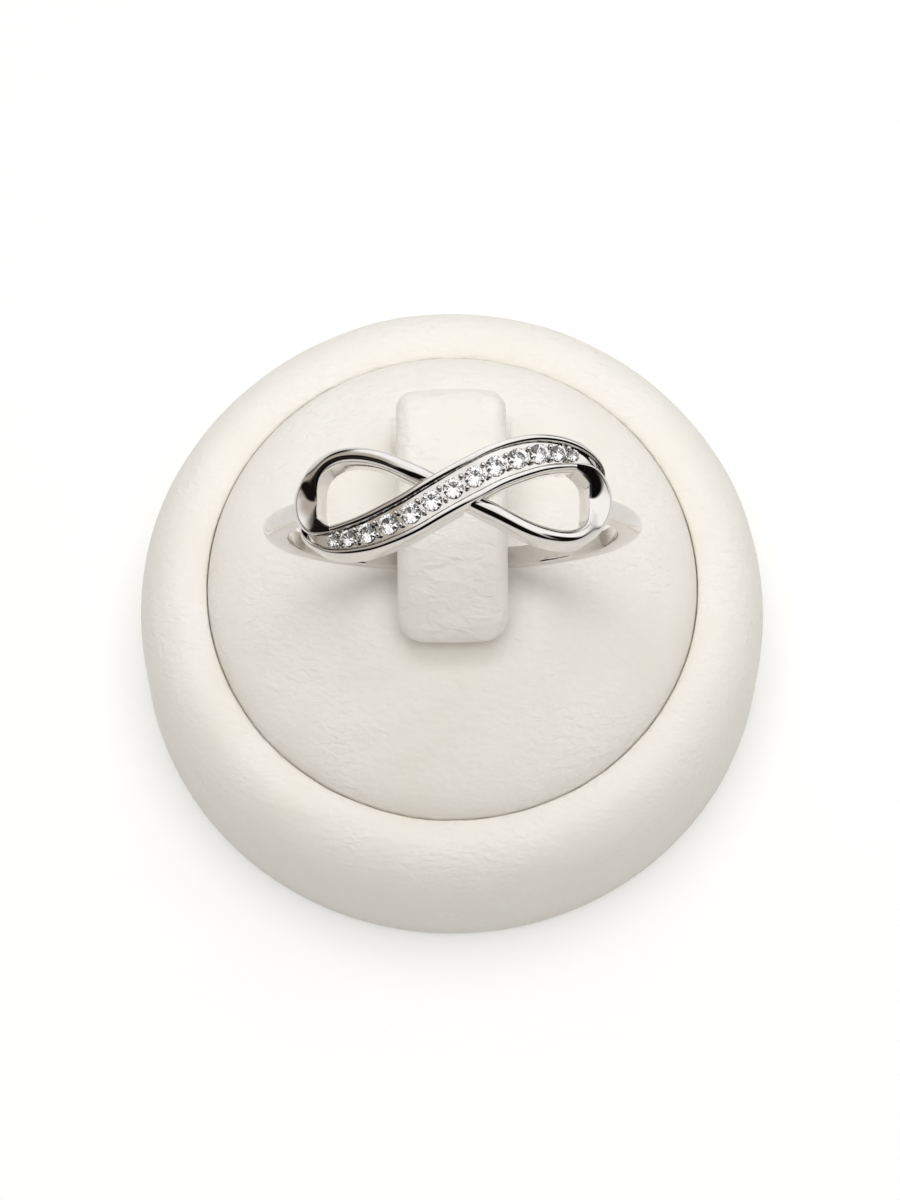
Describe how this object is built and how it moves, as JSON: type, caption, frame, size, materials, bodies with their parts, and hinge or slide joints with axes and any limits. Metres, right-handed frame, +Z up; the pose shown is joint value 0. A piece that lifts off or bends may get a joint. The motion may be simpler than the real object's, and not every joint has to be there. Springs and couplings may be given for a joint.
{
  "type": "infinity ring on a round display stand",
  "caption": "Slim polished ring whose face is an infinity loop with a row of small round stones along one strand, held upright by the padded tongue of a round stepped stand.",
  "frame": {"origin": "middle of the stand's flat underside", "axes": "+Z up, -Y towards the front of the stand, where the ring's face leans, +X to the right as seen from the front"},
  "size_m": [0.0356, 0.0356, 0.0356],
  "materials": {
    "metal": "mirror-polished white precious metal",
    "stone": "clear round cut stones",
    "leather": "matte cream leatherette with a fine pebble grain"
  },
  "bodies": {
    "root": {"ring_metal": "metal", "stand_base": "leather", "stand_dome": "leather", "stand_tongue": "leather", "stone_01": "stone", "stone_02": "stone", "stone_03": "stone", "stone_04": "stone", "stone_05": "stone", "stone_06": "stone", "stone_07": "stone", "stone_08": "stone", "stone_09": "stone", "stone_10": "stone", "stone_11": "stone", "stone_12": "stone", "stone_13": "stone"}
  },
  "joints": []
}
